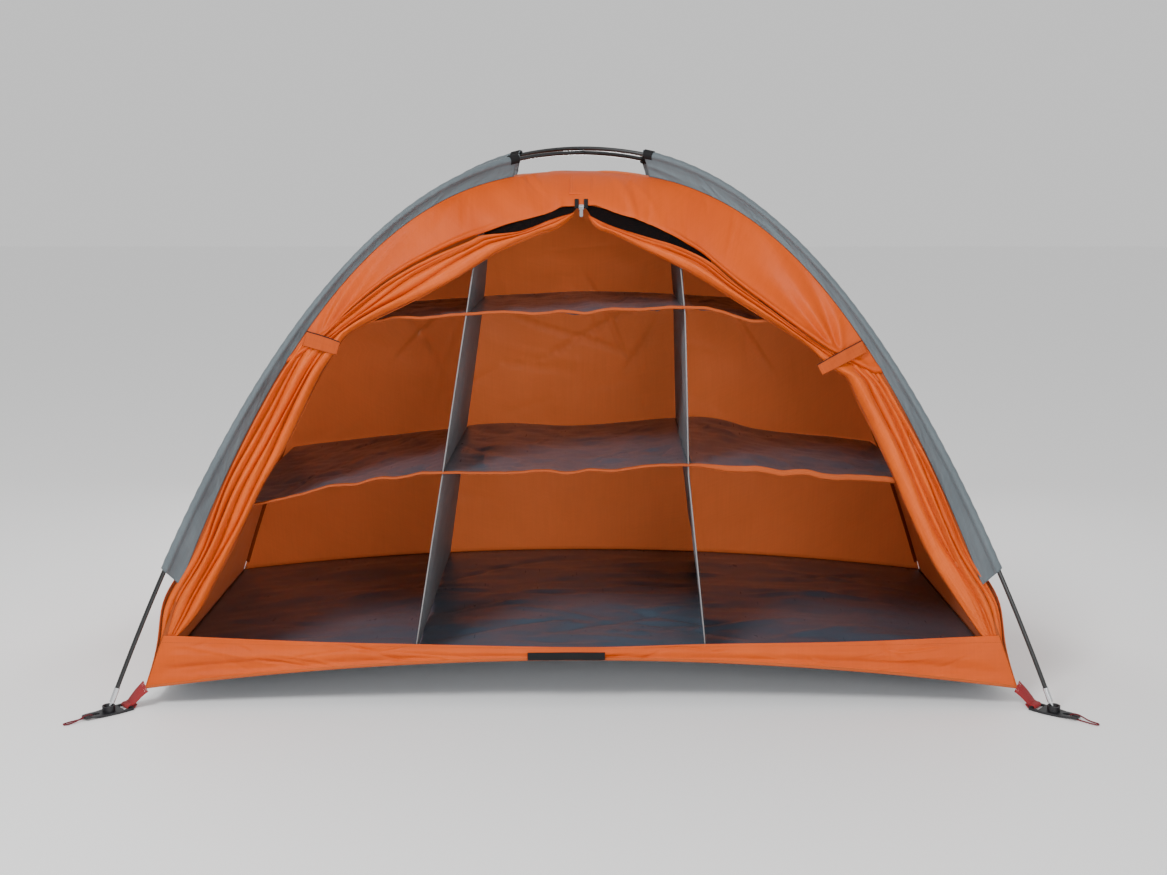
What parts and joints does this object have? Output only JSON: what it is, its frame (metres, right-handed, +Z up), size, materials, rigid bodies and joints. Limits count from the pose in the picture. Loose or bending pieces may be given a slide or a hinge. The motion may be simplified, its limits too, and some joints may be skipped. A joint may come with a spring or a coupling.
{
  "type": "dome tent",
  "caption": "Small dome storage tent on two crossing poles, with a tied-back zip door, two dividers and two shelves inside, and corner feet with peg loops.",
  "frame": {"origin": "on the ground at the centre of the footprint, midway between the four feet", "axes": "+X to the right as seen from the door, +Y from the door to the back, +Z up; the door faces -Y"},
  "size_m": [1.7824, 0.9086, 0.9801],
  "materials": {
    "black_tape": "black woven tape",
    "coated_fabric": "dark grey coated fabric, soft sheen",
    "divider_fabric": "light grey taffeta",
    "door_mesh": "fine black insect mesh",
    "foot_plastic": "moulded black plastic, fine texture",
    "orange_binding": "orange binding tape",
    "orange_fabric": "orange polyester taffeta, slight sheen",
    "orange_tie": "orange fabric strap",
    "pole_fibreglass": "smooth black glass-fibre rod, satin",
    "pole_metal": "bright turned metal",
    "red_cord": "thin red braided cord",
    "red_webbing": "red woven webbing",
    "shock_cord": "braided elastic cord",
    "sleeve_fabric": "grey polyester taffeta",
    "zip_metal": "plated zinc",
    "zip_tape": "black woven zip tape with nylon coil"
  },
  "bodies": {
    "tent": {"pole_a_section_1": "pole_fibreglass", "pole_a_section_2": "pole_fibreglass", "pole_a_section_3": "pole_fibreglass", "pole_a_section_4": "pole_fibreglass", "pole_a_section_5": "pole_fibreglass", "pole_b_section_1": "pole_fibreglass", "pole_b_section_2": "pole_fibreglass", "pole_b_section_3": "pole_fibreglass", "pole_b_section_4": "pole_fibreglass", "pole_b_section_5": "pole_fibreglass", "pole_ferrules": "pole_metal", "pole_tips": "pole_metal", "shock_cords": "shock_cord", "sleeve_front_left": "sleeve_fabric", "sleeve_front_right": "sleeve_fabric", "sleeve_back_left": "sleeve_fabric", "sleeve_back_right": "sleeve_fabric", "sleeve_end_tapes": "black_tape", "seam_tapes": "black_tape", "front_panel": "orange_fabric", "front_sill": "orange_fabric", "sill_tab": "black_tape", "left_door": "orange_fabric", "right_door": "orange_fabric", "left_door_mesh": "door_mesh", "right_door_mesh": "door_mesh", "left_wall": "orange_fabric", "right_wall": "orange_fabric", "back_wall": "orange_fabric", "floor_sheet": "coated_fabric", "left_divider": "divider_fabric", "right_divider": "divider_fabric", "mid_shelf_left": "coated_fabric", "mid_shelf_centre": "coated_fabric", "mid_shelf_right": "coated_fabric", "top_shelf_left": "coated_fabric", "top_shelf_centre": "coated_fabric", "top_shelf_right": "coated_fabric", "mid_shelf_binding": "orange_binding", "top_shelf_binding": "orange_binding", "zip_flap": "orange_fabric", "left_zip_chain": "zip_tape", "right_zip_chain": "zip_tape"},
    "zip_slider": {"zip_slider": "zip_metal"},
    "zip_puller": {"zip_puller": "zip_metal"},
    "left_tie": {"left_tie_strap": "orange_tie"},
    "right_tie": {"right_tie_strap": "orange_tie"},
    "foot_front_left": {"foot_front_left": "foot_plastic", "corner_strap_front_left": "red_webbing", "peg_loop_front_left": "red_cord"},
    "foot_front_right": {"foot_front_right": "foot_plastic", "corner_strap_front_right": "red_webbing", "peg_loop_front_right": "red_cord"},
    "foot_back_left": {"foot_back_left": "foot_plastic", "corner_strap_back_left": "red_webbing", "peg_loop_back_left": "red_cord"},
    "foot_back_right": {"foot_back_right": "foot_plastic", "corner_strap_back_right": "red_webbing", "peg_loop_back_right": "red_cord"}
  },
  "joints": [
    {"name": "zip_slide", "type": "slide", "parent": "tent", "child": "zip_slider", "axis": [0, -0.6216, -0.7834], "range_m": [0, 0.012]},
    {"name": "zip_puller_swing", "type": "hinge", "parent": "zip_slider", "child": "zip_puller", "pos_m": [0, -0.13843, 0.87166], "axis": [-1, 0, 0], "range_deg": [0, 150]},
    {"name": "left_tie_peel", "type": "hinge", "parent": "tent", "child": "left_tie", "pos_m": [-0.489, -0.24256, 0.6426], "axis": [-0.2474, -0.2933, -0.9235], "range_deg": [0, 100]},
    {"name": "right_tie_peel", "type": "hinge", "parent": "tent", "child": "right_tie", "pos_m": [0.5, -0.24696, 0.62856], "axis": [-0.4377, 0.2651, 0.8591], "range_deg": [0, 100]},
    {"name": "foot_front_left_swivel", "type": "hinge", "parent": "tent", "child": "foot_front_left", "pos_m": [-0.83, -0.395, 0.0045], "axis": [0, 0, 1], "range_deg": [-12, 12]},
    {"name": "foot_front_right_swivel", "type": "hinge", "parent": "tent", "child": "foot_front_right", "pos_m": [0.83, -0.395, 0.0045], "axis": [0, 0, 1], "range_deg": [-12, 12]},
    {"name": "foot_back_left_swivel", "type": "hinge", "parent": "tent", "child": "foot_back_left", "pos_m": [-0.83, 0.395, 0.0045], "axis": [0, 0, 1], "range_deg": [-12, 12]},
    {"name": "foot_back_right_swivel", "type": "hinge", "parent": "tent", "child": "foot_back_right", "pos_m": [0.83, 0.395, 0.0045], "axis": [0, 0, 1], "range_deg": [-12, 12]}
  ]
}
